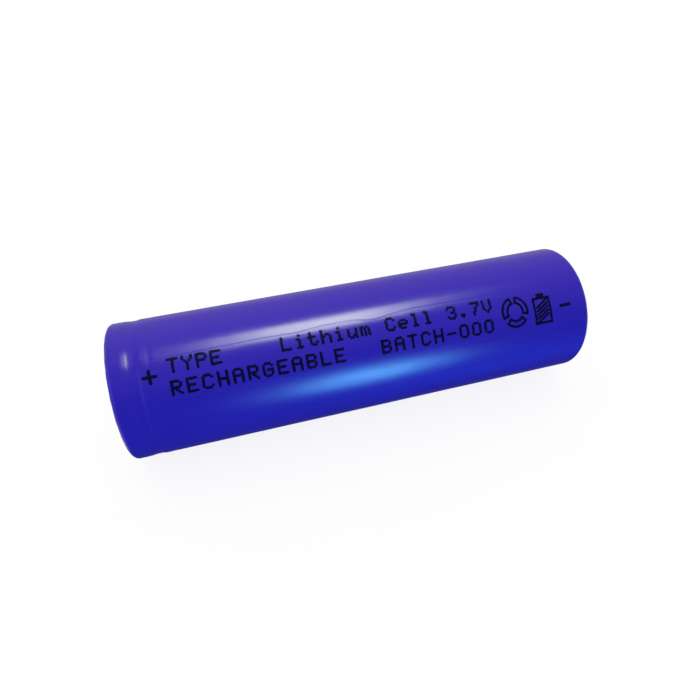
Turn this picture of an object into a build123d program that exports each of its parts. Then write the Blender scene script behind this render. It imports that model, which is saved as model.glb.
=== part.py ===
from build123d import *

import os
from math import degrees

# A cylindrical rechargeable lithium-ion cell, 18 mm across and 65 mm long, as all its separate pieces:
# the shrink sleeve and steel can, the crimped header with its safety parts, and the wound roll inside.
#
# Every piece is drawn upright, with its axis on Z, Z = 0 at the underside of the can and +Z towards the
# positive end. laid_down() then turns it onto its side: the axis lies along X, the positive end faces -X
# and the origin is at mid-length on the axis. Sizes are in millimetres.

# ---------------------------------------------------------------- the whole cell
CELL_LENGTH = 65.2  # from the sleeve's fold at the negative end to the face of the positive cap
CELL_RADIUS = 9.2  # over the sleeve
FIT = 0.01  # clearance between pieces that are pressed or stacked together

# ---------------------------------------------------------------- shrink sleeve and paper ring
SLEEVE_WALL = 0.09
SLEEVE_FOLD_TOP = 1.6  # how far the sleeve reaches in over the positive end
SLEEVE_FOLD_BASE = 1.8  # how far it reaches in over the negative end
SLEEVE_CORNER_TOP = 0.65  # radius in mid-wall where it turns over the crimp
SLEEVE_DIP = 0.12  # how far it has shrunk into the bead groove
SLEEVE_DIP_RADIUS = 2.5  # it turns gently into the dip
RING_THICKNESS = 0.2
RING_MARGIN = 0.45  # how far the ring's bore lies inside the foot of the cap's slope

# ---------------------------------------------------------------- can
CAN_WALL = 0.25
CAN_CORNER = 0.6  # outside radius at the bottom and at the crimp
CRIMP_WIDTH = 2.1  # how far the crimped edge reaches in from the wall
BEAD_DEPTH = 1.18  # how far the rolled bead reaches in from the wall
BEAD_HEIGHT = 1.1  # between the middles of its two flanks
BEAD_CORNER = 0.45
BASE_GROOVE_MARGIN = 0.5  # from the sleeve's opening in to the fine groove round the negative contact
BASE_GROOVE_WIDTH = 0.3
BASE_GROOVE_DEPTH = 0.06

# ---------------------------------------------------------------- header
CAP_STAND = 0.5  # the cap's face above the crimp
CAP_SHEET = 0.3
CAP_MARGIN = 1.5  # from the crimp's edge in to the foot of the cap's slope
CAP_SLOPE = 1.1  # width of the slope
CAP_BEND = 0.4
CAP_WINDOWS = 4
CAP_WINDOW_WIDTH = 1.6
CAP_WINDOW_HEIGHT = 0.5
PTC_THICKNESS = 0.3
PTC_WIDTH = 1.9
GASKET_WALL = 0.35
GASKET_BEND = 0.25  # at its foot, in mid-wall
GASKET_BEND_TOP = 0.45  # at the crimp, in mid-wall
GASKET_FOOT = 1.6  # how far its foot reaches in over the bead
GASKET_LIP = 0.2  # how far its upper lip shows inside the crimp
DISC_SHEET = 0.3
DISH_MARGIN = 0.9  # from the gasket's foot in to the dish
DISH_SLOPE = 0.6
DISH_DEPTH = 0.75
DISC_BEND = 0.25
SCORE_RADIUS = 3.2
SCORE_WIDTH = 0.3
SCORE_DEPTH = 0.12
NIPPLE_RADIUS = 1.4  # at its foot, in the middle of the sheet
NIPPLE_SLOPE = 0.35
CID_SKIRT = 0.35  # wall of the insulator round the plate
CID_SHELF = 1.2  # the insulator's flange between the disc and the plate
CID_SPACING = 0.5  # thickness of that flange
CID_PLATE = 0.4
CID_HOLES = 6
CID_HOLE_RADIUS = 0.8
TEAR_RADIUS = 1.4  # weakened ring round the weld
TEAR_WIDTH = 0.2
TEAR_DEPTH = 0.15

# ---------------------------------------------------------------- insulators and centre pin
INSULATOR = 0.25
INSULATOR_GAP = 0.35  # between the upper insulator and the wall
HEADER_ROOM = 0.75  # left for the folded tab above the upper insulator
WELD_HOLE = 1.9  # radius of the hole in the middle of both insulators
PIN_RADIUS = 1.6
PIN_WALL = 0.3
PIN_SLIT = 0.4
PIN_END = 1.4  # the pin is this much shorter than the roll at each end

# ---------------------------------------------------------------- wound roll
FOIL = 0.05
COAT = 0.10
SEPARATOR = 0.04
LAYER_GAP = 0.01
PIN_CLEARANCE = 0.15
WALL_CLEARANCE = 0.08
ELECTRODE_MARGIN = 0.5  # the anode is this much inside the separators, and the cathode inside the anode
ROLL_TAPE = 0.05
ROLL_TAPE_MARGIN = 4.8  # from the tape to each end of the roll
ROLL_TAPE_SPAN = 200.0  # degrees round the roll
ROLL_TAPE_TAIL = 30.0  # degrees past the end of the separators

# ---------------------------------------------------------------- tabs
TAB_WIDTH = 4.0
TAB_SHEET = 0.1
TAB_GRIP = 40.0  # length welded to the foil
TAB_ROOM = 1.0  # bare foil round a tab, each side
TAB_SLOT = 0.4  # clearance round a tab where it passes an insulator
TAB_LIFT = 0.05
TAB_FOLD_REACH = 3.0  # how far past the axis the positive tab goes before it doubles back
TAB_WELD_REACH = 1.8  # how far past the axis each welded end reaches
TAPE = 0.05
TAPE_MARGIN = 0.5  # tape beyond the edge of the tab

# ---------------------------------------------------------------- radii that follow from these
can_outer = CELL_RADIUS - SLEEVE_WALL - FIT
can_inner = can_outer - CAN_WALL
can_middle = can_outer - CAN_WALL / 2
crimp_opening = can_outer - CRIMP_WIDTH
gasket_outer = can_inner - FIT
gasket_inner = gasket_outer - GASKET_WALL
gasket_bore = gasket_outer - GASKET_FOOT
gasket_lip = crimp_opening - GASKET_LIP
header_radius = gasket_inner - GASKET_BEND_TOP + GASKET_WALL / 2 - FIT
cap_foot = crimp_opening - CAP_MARGIN
dish_outer = gasket_bore - DISH_MARGIN
dish_inner = dish_outer - DISH_SLOPE
cid_plate_radius = dish_inner - CID_SKIRT
cid_bore = dish_inner - CID_SHELF
sleeve_middle = CELL_RADIUS - SLEEVE_WALL / 2
ring_outer = CELL_RADIUS - SLEEVE_CORNER_TOP - SLEEVE_WALL
ring_bore = cap_foot - RING_MARGIN

# ---------------------------------------------------------------- heights of the header, from the top down
sleeve_base = -FIT - SLEEVE_WALL
cell_top = CELL_LENGTH + sleeve_base
crimp_top = cell_top - CAP_STAND
gasket_top = crimp_top - CAN_WALL - FIT
cap_rim = gasket_top - GASKET_WALL - FIT - CAP_SHEET
ptc_base = cap_rim - FIT - PTC_THICKNESS
disc_rim = ptc_base - FIT - DISC_SHEET
gasket_base = disc_rim - FIT - GASKET_WALL
bead_top = gasket_base - FIT - CAN_WALL / 2
bead_middle = bead_top - BEAD_HEIGHT / 2
bead_base = bead_top - BEAD_HEIGHT
cid_flange = disc_rim - DISH_DEPTH - FIT - CID_SPACING
cid_top = cid_flange - FIT
cid_base = cid_top - CID_PLATE
ring_base = crimp_top + FIT
sleeve_top = ring_base + RING_THICKNESS + FIT

# ---------------------------------------------------------------- heights inside the can, from the floor up
tab_foot = CAN_WALL
lower_insulator_base = CAN_WALL + TAB_SHEET + TAB_LIFT
roll_base = lower_insulator_base + INSULATOR + 2 * FIT
upper_insulator_base = cid_base - HEADER_ROOM - INSULATOR
roll_top = upper_insulator_base - 2 * FIT
anode_base = roll_base + ELECTRODE_MARGIN
anode_top = roll_top - ELECTRODE_MARGIN
cathode_base = anode_base + ELECTRODE_MARGIN
cathode_top = anode_top - ELECTRODE_MARGIN

# ---------------------------------------------------------------- layers of the roll, from the inside out
# Each layer is given by its distance from the inside of the turn that it belongs to. A tab lies in a gap in
# the outer coat, so that layer is given at least a tab's thickness.
outer_coat_room = max(COAT, TAB_SHEET)
anode_start = SEPARATOR + LAYER_GAP
anode_foil_start = anode_start + COAT
anode_foil_end = anode_foil_start + FOIL
anode_end = anode_foil_end + outer_coat_room
outer_separator_start = anode_end + LAYER_GAP
outer_separator_end = outer_separator_start + SEPARATOR
cathode_start = outer_separator_end + LAYER_GAP
cathode_foil_start = cathode_start + COAT
cathode_foil_end = cathode_foil_start + FOIL
cathode_end = cathode_foil_end + outer_coat_room
pitch = cathode_end + LAYER_GAP

# The roll is a spiral of half-turns. The even ones swing over +Y and the odd ones over -Y, and their
# centres lie a quarter of the pitch to either side of the axis, so each half-turn runs smoothly into the
# next and every layer keeps its thickness.
first_radius = PIN_RADIUS + PIN_CLEARANCE + pitch / 4
roll_room = can_inner - WALL_CLEARANCE - ROLL_TAPE - LAYER_GAP - outer_separator_end - pitch / 4
half_turns = int((roll_room - first_radius) / (pitch / 2)) + 1
cathode_tab_turn = half_turns // 2
anode_tab_turn = half_turns - 4


def turn_side(turn):
    """+1 for a half-turn over +Y, -1 for one over -Y."""
    return 1 if turn % 2 == 0 else -1


def turn_centre(turn):
    """X of the centre of a half-turn."""
    return -turn_side(turn) * pitch / 4


def turn_radius(turn):
    """Radius of the inside of a half-turn."""
    return first_radius + turn * pitch / 2


# ---------------------------------------------------------------- ways of making a piece


def stamped(points, bends, sheet):
    """Sheet of one thickness, pressed round the axis: points (radius, height) run down its middle."""
    middle = FilletPolyline(*points, radius=bends)
    return revolve(Plane.XZ * trace(middle, line_width=sheet), Axis.Z)


def ring(outer, inner, base, top):
    """A flat ring or washer."""
    height = top - base
    middle = Pos(0, 0, (base + top) / 2)
    return middle * (Cylinder(outer, height) - Cylinder(inner, height))


def wound(first, last, inner, outer, base, top):
    """A strip wound over the half-turns from first up to last, between two distances into the layer."""
    lines = []
    for distance in (inner, outer):
        for turn in range(first, last):
            side, centre, radius = turn_side(turn), turn_centre(turn), turn_radius(turn) + distance
            start, end = (centre + side * radius, 0), (centre - side * radius, 0)
            lines.append(ThreePointArc(start, (centre, side * radius), end))
    for turn, way in ((first, 1), (last - 1, -1)):
        reach = way * turn_side(turn)
        near = turn_centre(turn) + reach * (turn_radius(turn) + inner)
        far = turn_centre(turn) + reach * (turn_radius(turn) + outer)
        lines.append(Line((near, 0), (far, 0)))
    return Pos(0, 0, base) * extrude(make_face(lines), top - base)


def curved_strip(turn, distance, sheet, width, base, top):
    """A strip bent to the curve of a half-turn, in the middle of it."""
    radius = turn_radius(turn) + distance + sheet / 2
    half_angle = degrees(width / 2 / radius)
    middle = 90 * turn_side(turn)
    arc = CenterArc((turn_centre(turn), 0), radius, middle - half_angle, 2 * half_angle)
    return Pos(0, 0, base) * extrude(trace(arc, line_width=sheet), top - base)


def beside(turn):
    """The upright plane through a half-turn's middle: x runs outwards and y runs up."""
    side = turn_side(turn)
    return Plane(origin=(turn_centre(turn), 0, 0), x_dir=(0, side, 0), z_dir=(side, 0, 0))


def folded_strip(turn, distance, middle):
    """The part of a tab outside the roll, ending where the curved part of the tab meets it."""
    strip = extrude(beside(turn) * trace(middle, line_width=TAB_SHEET), TAB_WIDTH / 2, both=True)
    edge = Cylinder(turn_radius(turn) + distance + TAB_SHEET, 2 * CELL_LENGTH)
    return strip & Pos(turn_centre(turn), 0, 0) * edge


def bare_patch(turn, distance, base, top):
    """What is left out of a coat over or behind a tab, wider and deeper than the coat is thick."""
    width = TAB_WIDTH + 2 * TAB_ROOM
    return curved_strip(turn, distance - COAT / 2, 2 * COAT, width, base, top)


def tab_slot(turn, distance, to_edge, base):
    """What is left out of an insulator where a tab passes it."""
    near = turn_radius(turn) + distance - 2 * TAB_SLOT
    far = can_outer if to_edge else turn_radius(turn) + distance + TAB_SHEET + TAB_SLOT
    middle = beside(turn).location * Pos((near + far) / 2, base + INSULATOR / 2, 0)
    return middle * Box(far - near, 2 * INSULATOR, TAB_WIDTH + 2 * TAB_SLOT)


# ---------------------------------------------------------------- outside


def shrink_sleeve():
    """The printed film, shrunk over the can and folded in over both ends."""
    fold_base = sleeve_base + SLEEVE_WALL / 2
    fold_top = sleeve_top + SLEEVE_WALL / 2
    corner_base = CAN_CORNER + FIT + SLEEVE_WALL / 2
    slope_start = BEAD_HEIGHT / 2 + BEAD_CORNER * 0.9
    slope_end = BEAD_HEIGHT / 2 - BEAD_CORNER * 0.6
    points = [
        (CELL_RADIUS - SLEEVE_FOLD_BASE, fold_base),
        (sleeve_middle, fold_base),
        (sleeve_middle, bead_middle - slope_start),
        (sleeve_middle - SLEEVE_DIP, bead_middle - slope_end),
        (sleeve_middle - SLEEVE_DIP, bead_middle + slope_end),
        (sleeve_middle, bead_middle + slope_start),
        (sleeve_middle, fold_top),
        (CELL_RADIUS - SLEEVE_FOLD_TOP, fold_top),
    ]
    return stamped(points, [corner_base] + [SLEEVE_DIP_RADIUS] * 4 + [SLEEVE_CORNER_TOP], SLEEVE_WALL)


def top_insulator_ring():
    """The paper washer that keeps the negative can away from the positive contact."""
    return ring(ring_outer, ring_bore, ring_base, ring_base + RING_THICKNESS)


def can():
    """The nickel-plated steel can: beaded, crimped over the header, its floor the negative contact."""
    corner = CAN_CORNER - CAN_WALL / 2
    bead = can_middle - BEAD_DEPTH
    points = [
        (0, CAN_WALL / 2),
        (can_middle, CAN_WALL / 2),
        (can_middle, bead_base),
        (bead, bead_base),
        (bead, bead_top),
        (can_middle, bead_top),
        (can_middle, crimp_top - CAN_WALL / 2),
        (crimp_opening, crimp_top - CAN_WALL / 2),
    ]
    shell = stamped(points, [corner] + [BEAD_CORNER] * 4 + [corner], CAN_WALL)
    groove_outer = CELL_RADIUS - SLEEVE_FOLD_BASE - BASE_GROOVE_MARGIN
    groove_inner = groove_outer - BASE_GROOVE_WIDTH
    return shell - ring(groove_outer, groove_inner, -BASE_GROOVE_DEPTH, BASE_GROOVE_DEPTH)


# ---------------------------------------------------------------- header


def crimp_gasket():
    """The plastic seal: it wraps the edge of the header and keeps it away from the can."""
    wall = gasket_outer - GASKET_WALL / 2
    foot = gasket_base + GASKET_WALL / 2
    lip = gasket_top - GASKET_WALL / 2
    points = [(gasket_bore, foot), (wall, foot), (wall, lip), (gasket_lip, lip)]
    return stamped(points, [GASKET_BEND, GASKET_BEND_TOP], GASKET_WALL)


def positive_cap():
    """The plated steel cap, the positive terminal, with windows that let gas out."""
    rim = cap_rim + CAP_SHEET / 2
    face = cell_top - CAP_SHEET / 2
    points = [(header_radius, rim), (cap_foot, rim), (cap_foot - CAP_SLOPE, face), (0, face)]
    cap = stamped(points, [CAP_BEND, CAP_BEND], CAP_SHEET)
    slope_middle = cap_foot - CAP_SLOPE / 2
    window = Pos(slope_middle, 0, (rim + face) / 2) * Box(
        CAP_SLOPE + 2 * CAP_SHEET, CAP_WINDOW_WIDTH, CAP_WINDOW_HEIGHT
    )
    for number in range(CAP_WINDOWS):
        cap -= Rot(0, 0, 360 / CAP_WINDOWS * (number + 0.5)) * window
    return cap


def ptc_ring():
    """The ring whose resistance climbs when it gets hot."""
    return ring(header_radius, header_radius - PTC_WIDTH, ptc_base, ptc_base + PTC_THICKNESS)


def vent_disc():
    """The aluminium safety disc: dished, scored to burst, and welded to the plate below by its nipple."""
    rim = disc_rim + DISC_SHEET / 2
    floor = rim - DISH_DEPTH
    tip = cid_top + DISC_SHEET / 2
    points = [
        (header_radius, rim),
        (dish_outer, rim),
        (dish_inner, floor),
        (NIPPLE_RADIUS, floor),
        (NIPPLE_RADIUS - NIPPLE_SLOPE, tip),
        (0, tip),
    ]
    disc = stamped(points, [DISC_BEND] * 4, DISC_SHEET)
    top = floor + DISC_SHEET / 2
    score = ring(SCORE_RADIUS + SCORE_WIDTH, SCORE_RADIUS, top - SCORE_DEPTH, top + SCORE_DEPTH)
    return disc - score


def cid_insulator():
    """The plastic ring that holds the plate to the disc and keeps the two apart."""
    flange = ring(dish_inner, cid_bore, cid_flange, cid_flange + CID_SPACING)
    skirt = ring(dish_inner, cid_plate_radius + FIT, cid_base, cid_flange)
    return flange + skirt


def cid_plate():
    """The aluminium plate that carries the current in, until the disc tears it free at its middle."""
    plate = Pos(0, 0, (cid_base + cid_top) / 2) * Cylinder(cid_plate_radius, CID_PLATE)
    hole_circle = (NIPPLE_RADIUS + cid_bore) / 2
    for hole in PolarLocations(hole_circle, CID_HOLES):
        plate -= Pos(0, 0, cid_base) * hole * Cylinder(CID_HOLE_RADIUS, 4 * CID_PLATE)
    tear = ring(TEAR_RADIUS + TEAR_WIDTH, TEAR_RADIUS, cid_top - TEAR_DEPTH, cid_top + TEAR_DEPTH)
    return plate - tear


# ---------------------------------------------------------------- insulators and centre pin


def upper_insulator():
    """The disc between the roll and the header, with a slot for the positive tab."""
    top = upper_insulator_base + INSULATOR
    disc = ring(can_inner - INSULATOR_GAP, WELD_HOLE, upper_insulator_base, top)
    return disc - tab_slot(cathode_tab_turn, cathode_foil_end, False, upper_insulator_base)


def lower_insulator():
    """The disc between the roll and the can's floor, with a notch for the negative tab."""
    floor_radius = can_outer - CAN_CORNER
    top = lower_insulator_base + INSULATOR
    disc = ring(floor_radius, WELD_HOLE, lower_insulator_base, top)
    return disc - tab_slot(anode_tab_turn, anode_foil_end, True, lower_insulator_base)


def centre_pin():
    """The slit steel tube that keeps the middle of the roll open for gas."""
    base, top = roll_base + PIN_END, roll_top - PIN_END
    slit = Pos(PIN_RADIUS, 0, (base + top) / 2) * Box(4 * PIN_WALL, PIN_SLIT, 2 * (top - base))
    return ring(PIN_RADIUS, PIN_RADIUS - PIN_WALL, base, top) - slit


# ---------------------------------------------------------------- wound roll


def separator_inner():
    """The porous film inside the anode, which starts the roll on the pin."""
    return wound(0, half_turns, 0, SEPARATOR, roll_base, roll_top)


def separator_outer():
    """The porous film outside the anode."""
    return wound(0, half_turns, outer_separator_start, outer_separator_end, roll_base, roll_top)


def anode_foil():
    """The copper foil, which starts half a turn after the separators and ends half a turn before them."""
    return wound(1, half_turns - 1, anode_foil_start, anode_foil_end, anode_base, anode_top)


def anode_coat_inner():
    """The graphite on the foil's inner face, left bare behind the negative tab."""
    coat = wound(1, half_turns - 1, anode_start, anode_foil_start, anode_base, anode_top)
    bare_top = anode_base + TAB_GRIP + TAB_ROOM
    return coat - bare_patch(anode_tab_turn, anode_start, 0, bare_top)


def anode_coat_outer():
    """The graphite on the foil's outer face, left bare under the negative tab."""
    coat = wound(1, half_turns - 1, anode_foil_end, anode_foil_end + COAT, anode_base, anode_top)
    bare_top = anode_base + TAB_GRIP + TAB_ROOM
    return coat - bare_patch(anode_tab_turn, anode_foil_end, 0, bare_top)


def cathode_foil():
    """The aluminium foil, which starts half a turn after the anode and ends half a turn before it."""
    return wound(2, half_turns - 2, cathode_foil_start, cathode_foil_end, cathode_base, cathode_top)


def cathode_coat_inner():
    """The metal oxide on the foil's inner face, left bare behind the positive tab."""
    coat = wound(2, half_turns - 2, cathode_start, cathode_foil_start, cathode_base, cathode_top)
    bare_base = cathode_top - TAB_GRIP - TAB_ROOM
    return coat - bare_patch(cathode_tab_turn, cathode_start, bare_base, CELL_LENGTH)


def cathode_coat_outer():
    """The metal oxide on the foil's outer face, left bare under the positive tab."""
    coat = wound(
        2, half_turns - 2, cathode_foil_end, cathode_foil_end + COAT, cathode_base, cathode_top
    )
    bare_base = cathode_top - TAB_GRIP - TAB_ROOM
    return coat - bare_patch(cathode_tab_turn, cathode_foil_end, bare_base, CELL_LENGTH)


def roll_tape():
    """The tape that holds down the end of the separators, with its tail just past that end."""
    last = half_turns - 1
    radius = turn_radius(last) + outer_separator_end + LAYER_GAP + ROLL_TAPE / 2
    end = 270 - 90 * turn_side(last) + ROLL_TAPE_TAIL
    arc = CenterArc((turn_centre(last), 0), radius, end - ROLL_TAPE_SPAN, ROLL_TAPE_SPAN)
    base, top = roll_base + ROLL_TAPE_MARGIN, roll_top - ROLL_TAPE_MARGIN
    return Pos(0, 0, base) * extrude(trace(arc, line_width=ROLL_TAPE), top - base)


# ---------------------------------------------------------------- tabs


def positive_tab():
    """The aluminium strip from the cathode foil to the plate, folded back on itself above the roll."""
    low = upper_insulator_base + INSULATOR + TAB_LIFT + TAB_SHEET / 2
    high = cid_base - TAB_SHEET / 2
    base, top = cathode_top - TAB_GRIP, low + TAB_SHEET / 2
    wall = curved_strip(cathode_tab_turn, cathode_foil_end, TAB_SHEET, TAB_WIDTH, base, top)
    points = [
        (can_outer, low),
        (-TAB_FOLD_REACH, low),
        (-TAB_FOLD_REACH, high),
        (TAB_WELD_REACH, high),
    ]
    fold = FilletPolyline(*points, radius=0.49 * (high - low))
    return wall + folded_strip(cathode_tab_turn, cathode_foil_end, fold)


def negative_tab():
    """The nickel strip from the anode foil to the middle of the can's floor."""
    middle = tab_foot + TAB_SHEET / 2
    top = anode_base + TAB_GRIP
    wall = curved_strip(anode_tab_turn, anode_foil_end, TAB_SHEET, TAB_WIDTH, tab_foot, top)
    foot = Line((can_outer, middle), (-TAB_WELD_REACH, middle))
    return wall + folded_strip(anode_tab_turn, anode_foil_end, foot)


def positive_tab_tape():
    """The insulating tape on the back of the foil, behind the positive tab."""
    width = TAB_WIDTH + 2 * TAPE_MARGIN
    base = cathode_top - TAB_GRIP - TAPE_MARGIN
    return curved_strip(cathode_tab_turn, cathode_foil_start - TAPE, TAPE, width, base, cathode_top)


def negative_tab_tape():
    """The insulating tape on the back of the foil, behind the negative tab."""
    width = TAB_WIDTH + 2 * TAPE_MARGIN
    top = anode_base + TAB_GRIP + TAPE_MARGIN
    return curved_strip(anode_tab_turn, anode_foil_start - TAPE, TAPE, width, anode_base, top)


# ---------------------------------------------------------------- the assembly

PIECES = [
    shrink_sleeve,
    top_insulator_ring,
    can,
    crimp_gasket,
    positive_cap,
    ptc_ring,
    vent_disc,
    cid_insulator,
    cid_plate,
    upper_insulator,
    lower_insulator,
    centre_pin,
    separator_inner,
    separator_outer,
    anode_foil,
    anode_coat_inner,
    anode_coat_outer,
    cathode_foil,
    cathode_coat_inner,
    cathode_coat_outer,
    roll_tape,
    positive_tab,
    negative_tab,
    positive_tab_tape,
    negative_tab_tape,
]


def laid_down(piece):
    """Turns an upright piece onto its side, positive end towards -X, with mid-length at the origin."""
    middle = (cell_top + sleeve_base) / 2
    return Pos(middle, 0, 0) * Rot(0, -90, 0) * piece


os.makedirs("parts", exist_ok=True)
for make in PIECES:
    export_step(laid_down(make()), f"parts/{make.__name__}.step")
print("half-turns in the roll:", half_turns, "pitch:", round(pitch, 3))
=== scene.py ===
# %% [markdown]
# # A wrapped lithium cell
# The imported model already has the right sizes: a steel can, its crimped lid and the wound roll inside.
# This script gives each of those pieces its finish, swaps the plain plastic sleeve for one with the small
# unevenness that shrunk film has, prints on it, and sets up a pale table with soft studio light.
# Everything is in metres and in the model's own frame: the cell lies along X with its positive end at -X.

import math
import random

import bpy
import numpy as np
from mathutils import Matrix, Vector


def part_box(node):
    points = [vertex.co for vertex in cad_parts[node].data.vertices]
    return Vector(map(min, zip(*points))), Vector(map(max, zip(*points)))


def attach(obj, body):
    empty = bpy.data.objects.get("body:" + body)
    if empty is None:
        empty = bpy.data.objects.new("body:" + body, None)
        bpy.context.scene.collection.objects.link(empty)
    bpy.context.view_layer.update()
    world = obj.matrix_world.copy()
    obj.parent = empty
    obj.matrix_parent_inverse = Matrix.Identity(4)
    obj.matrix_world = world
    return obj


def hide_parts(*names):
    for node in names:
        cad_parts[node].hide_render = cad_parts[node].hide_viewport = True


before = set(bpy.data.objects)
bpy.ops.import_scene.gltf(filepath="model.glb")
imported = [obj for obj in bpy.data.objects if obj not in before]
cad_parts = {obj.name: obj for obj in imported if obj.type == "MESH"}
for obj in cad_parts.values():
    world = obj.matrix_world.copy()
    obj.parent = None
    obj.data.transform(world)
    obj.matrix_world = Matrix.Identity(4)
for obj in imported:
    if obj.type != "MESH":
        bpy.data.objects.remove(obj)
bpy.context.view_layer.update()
MM = 0.001

# %% [markdown]
# ## Small tools for node trees
# A finish is a handful of nodes. A few helpers keep the cells short: `put` adds one node and fills its
# sockets, with a plain value or with another node's output, and `effect` starts a node group, which is a
# part of a finish that several materials share, each with its own numbers.


# %% Add a node and fill its sockets
def put(tree, kind, settings=None, **sockets):
    """Adds a node. A socket given another node's output is linked to it; any other value is set on it."""
    node = tree.nodes.new("ShaderNode" + kind)
    for name, value in (settings or {}).items():
        setattr(node, name, value)
    for name, value in sockets.items():
        join(tree, value, node.inputs[name.replace("_", " ")])
    return node


def join(tree, value, socket):
    if isinstance(value, bpy.types.NodeSocket):
        tree.links.new(value, socket)
    else:
        socket.default_value = value


print("helpers:", put.__name__, join.__name__)


# %% Sums, mixes and ranges
def sum_of(tree, operation, first, second=0.0, clamp=False):
    """A Math node's result."""
    node = put(tree, "Math", {"operation": operation, "use_clamp": clamp})
    join(tree, first, node.inputs[0])
    join(tree, second, node.inputs[1])
    return node.outputs[0]


def mix_of(tree, factor, first, second):
    """Two colours mixed by a factor. A Mix node has a set of sockets for each kind; 6 and 7 are colours."""
    node = put(tree, "Mix", {"data_type": "RGBA"})
    join(tree, factor, node.inputs[0])
    join(tree, first, node.inputs[6])
    join(tree, second, node.inputs[7])
    return node.outputs[2]


def spread_of(tree, value, low, high, to_low, to_high):
    """A value moved from one range to another and held inside it."""
    node = put(tree, "MapRange", Value=value)
    for name, number in zip(("From Min", "From Max", "To Min", "To Max"), (low, high, to_low, to_high)):
        join(tree, number, node.inputs[name])
    return node.outputs[0]


print("helpers:", sum_of.__name__, mix_of.__name__, spread_of.__name__)

# %% Start an effect group
SOCKET_KINDS = {"value": "NodeSocketFloat", "colour": "NodeSocketColor", "vector": "NodeSocketVector"}
KIND_OF_SIZE = {1: "value", 3: "vector", 4: "colour"}


def effect(name, gives, **takes):
    """Starts a node group. takes are its inputs and their usual values, gives its outputs and their kinds."""
    group = bpy.data.node_groups.new(name, "ShaderNodeTree")
    sockets = group.interface
    for label, usual in takes.items():
        kind = SOCKET_KINDS[KIND_OF_SIZE[len(usual) if hasattr(usual, "__len__") else 1]]
        sockets.new_socket(label.replace("_", " "), in_out="INPUT", socket_type=kind).default_value = usual
    for label, kind in gives.items():
        sockets.new_socket(label, in_out="OUTPUT", socket_type=SOCKET_KINDS[kind])
    return group, group.nodes.new("NodeGroupInput").outputs, group.nodes.new("NodeGroupOutput").inputs


print("socket kinds:", list(SOCKET_KINDS))


# %% Start a material
def finish(name, colour, roughness, metallic=0.0, **sockets):
    """Starts a material and returns it with its tree and the sockets of its one surface shader."""
    material = bpy.data.materials.new(name)
    material.use_nodes = True
    tree = material.node_tree
    surface = tree.nodes["Principled BSDF"]
    surface.inputs["Base Color"].default_value = (*colour, 1)
    surface.inputs["Roughness"].default_value = roughness
    surface.inputs["Metallic"].default_value = metallic
    for label, value in sockets.items():
        surface.inputs[label.replace("_", " ")].default_value = value
    material.diffuse_color = (*colour, 1)
    return material, tree, surface.inputs


print("helper:", finish.__name__)

# %% [markdown]
# ## Effects that several finishes share
# Every texture is read from the object's own coordinates, which are metres, so a scale of 2000 gives
# features about half a millimetre wide. Stretching those coordinates before the noise makes marks that
# run one way, as drawing and rolling leave them.


# %% Effect: cloudy colour
def cloudy_colour():
    """Pigment and plating are never quite even: a colour drifts a little, in soft patches."""
    group, takes, gives = effect(
        "cloudy colour", {"Color": "colour"},
        Color=(0.5, 0.5, 0.5, 1), Other=(0.4, 0.4, 0.4, 1), Scale=300.0, Amount=0.3)
    place = put(group, "TexCoord").outputs["Object"]
    noise = put(group, "TexNoise", Vector=place, Scale=takes["Scale"], Detail=3.0, Roughness=0.55)
    patches = spread_of(group, noise.outputs["Fac"], 0.35, 0.65, 0.0, 1.0)
    amount = sum_of(group, "MULTIPLY", patches, takes["Amount"])
    join(group, mix_of(group, amount, takes["Color"], takes["Other"]), gives["Color"])
    return group


CLOUDY = cloudy_colour()
print("effect:", CLOUDY.name)


# %% Effect: marks that run one way
def drawn_lines():
    """Fine lines along one direction, as on drawn, rolled or extruded stock."""
    group, takes, gives = effect(
        "drawn lines", {"Lines": "value"}, Stretch=(0.04, 1.0, 1.0), Scale=6000.0, Contrast=1.0)
    place = put(group, "TexCoord").outputs["Object"]
    along = put(group, "VectorMath", {"operation": "MULTIPLY"})
    join(group, place, along.inputs[0])
    join(group, takes["Stretch"], along.inputs[1])
    noise = put(group, "TexNoise", Vector=along.outputs[0], Scale=takes["Scale"], Detail=4.0, Roughness=0.6)
    centred = sum_of(group, "SUBTRACT", noise.outputs["Fac"], 0.5)
    scaled = sum_of(group, "MULTIPLY", centred, takes["Contrast"])
    join(group, sum_of(group, "ADD", scaled, 0.5, clamp=True), gives["Lines"])
    return group


LINES = drawn_lines()
print("effect:", LINES.name)


# %% Effect: marks that run in rings
def spun_rings():
    """Rings about the cell's axis, as a press and a spinning crimp roller leave on a lid."""
    group, takes, gives = effect("spun rings", {"Rings": "value"}, Scale=9000.0, Wander=0.00004)
    place = put(group, "TexCoord").outputs["Object"]
    parts = put(group, "SeparateXYZ", Vector=place).outputs
    across = sum_of(group, "MULTIPLY", parts["Y"], parts["Y"])
    upward = sum_of(group, "MULTIPLY", parts["Z"], parts["Z"])
    radius = sum_of(group, "SQRT", sum_of(group, "ADD", across, upward))
    loose = put(group, "TexNoise", Vector=place, Scale=400.0, Detail=1.0).outputs["Fac"]
    moved = sum_of(group, "ADD", radius, sum_of(group, "MULTIPLY", loose, takes["Wander"]))
    spot = put(group, "CombineXYZ", X=moved, Y=0.0, Z=0.0).outputs[0]
    rings = put(group, "TexNoise", Vector=spot, Scale=takes["Scale"], Detail=3.0, Roughness=0.6)
    join(group, rings.outputs["Fac"], gives["Rings"])
    return group


RINGS = spun_rings()
print("effect:", RINGS.name)

# %% Effect: hairline scratches
SCRATCH_TURNS = (0.25, 1.1, 2.05, 2.8)
SCRATCH_LENGTH = 60.0


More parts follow.
